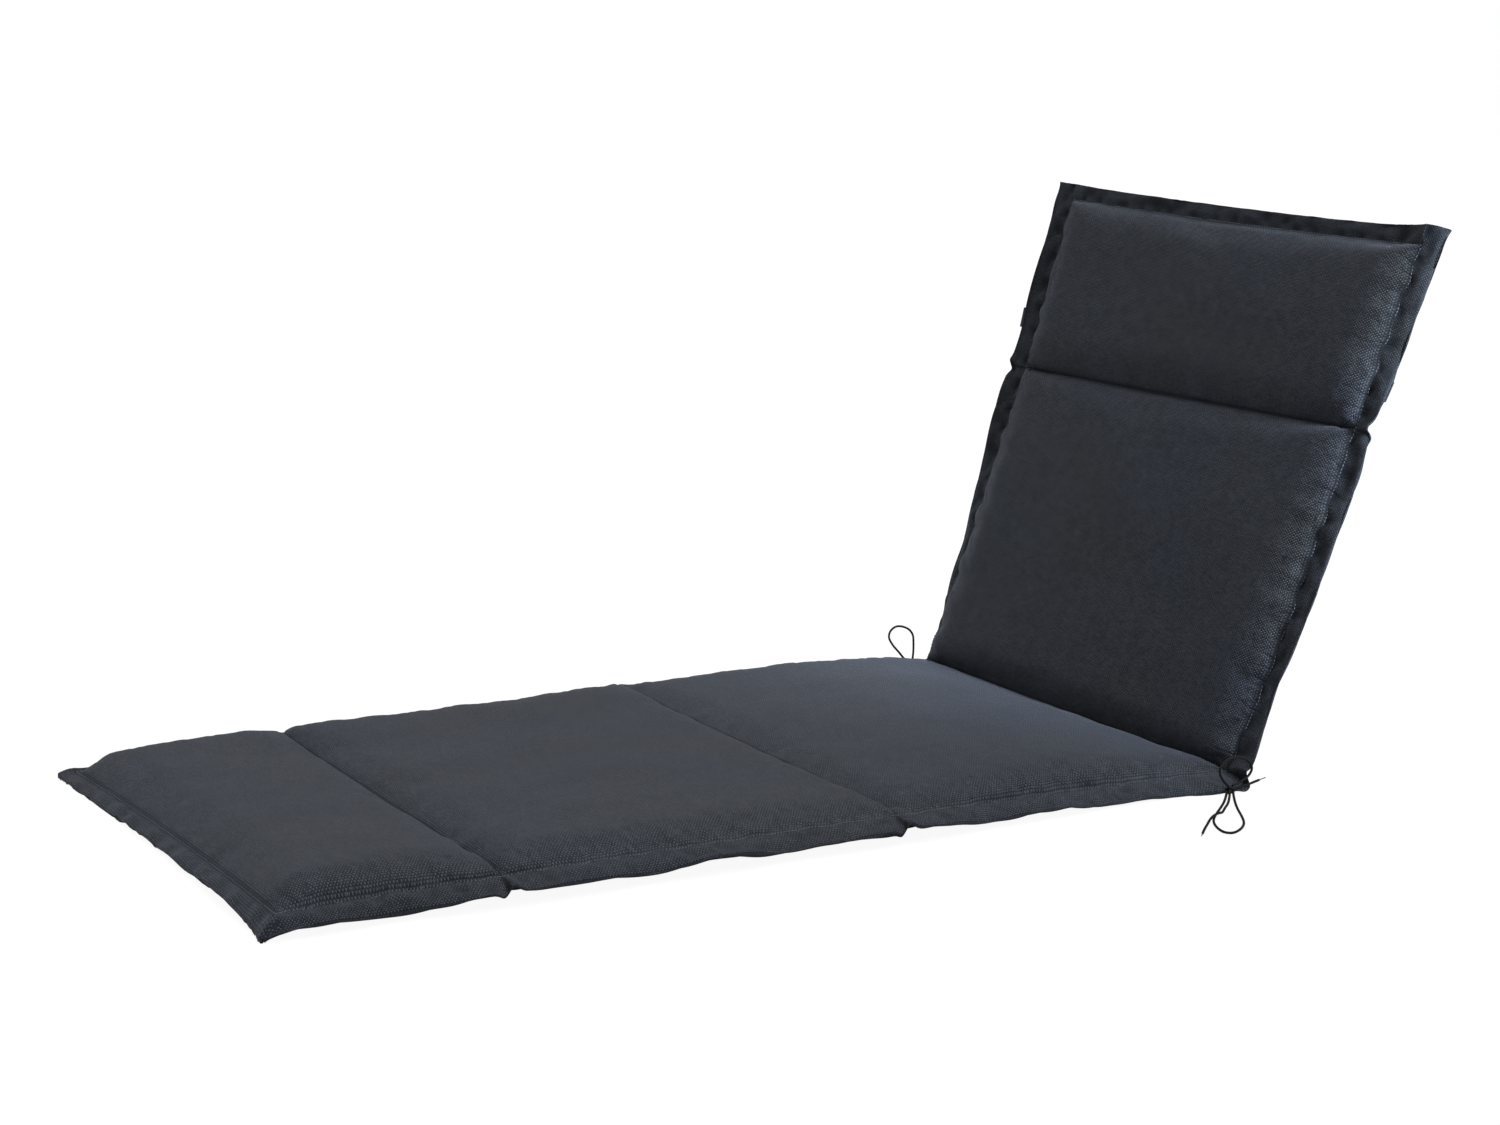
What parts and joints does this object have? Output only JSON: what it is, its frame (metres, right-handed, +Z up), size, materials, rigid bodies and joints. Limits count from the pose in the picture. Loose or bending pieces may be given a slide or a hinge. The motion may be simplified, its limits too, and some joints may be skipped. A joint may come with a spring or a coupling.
{
  "type": "sun lounger cushion",
  "caption": "Quilted sun lounger cushion folded up at the back rest, with a flat sewn flange all round, an elastic band across the back of the head panel and cord ties at the fold.",
  "frame": {"origin": "centre of the cushion's footprint, on the surface that it rests on", "axes": "+X from the foot end towards the head end, +Y towards the far side of the picture, +Z up"},
  "size_m": [1.4622, 0.8349, 0.6654],
  "materials": {
    "cover_cloth": "matte woven polyester, anthracite",
    "elastic": "woven elastic, black",
    "tie_cord": "braided cord, black"
  },
  "bodies": {
    "root": {"cushion": "cover_cloth", "head_band": "elastic", "tie_near_knot": "tie_cord", "tie_near_long_loop": "tie_cord", "tie_near_long_end": "tie_cord", "tie_near_short_loop": "tie_cord", "tie_near_short_end": "tie_cord", "tie_far_knot": "tie_cord", "tie_far_long_loop": "tie_cord", "tie_far_long_end": "tie_cord", "tie_far_short_loop": "tie_cord", "tie_far_short_end": "tie_cord"}
  },
  "joints": []
}
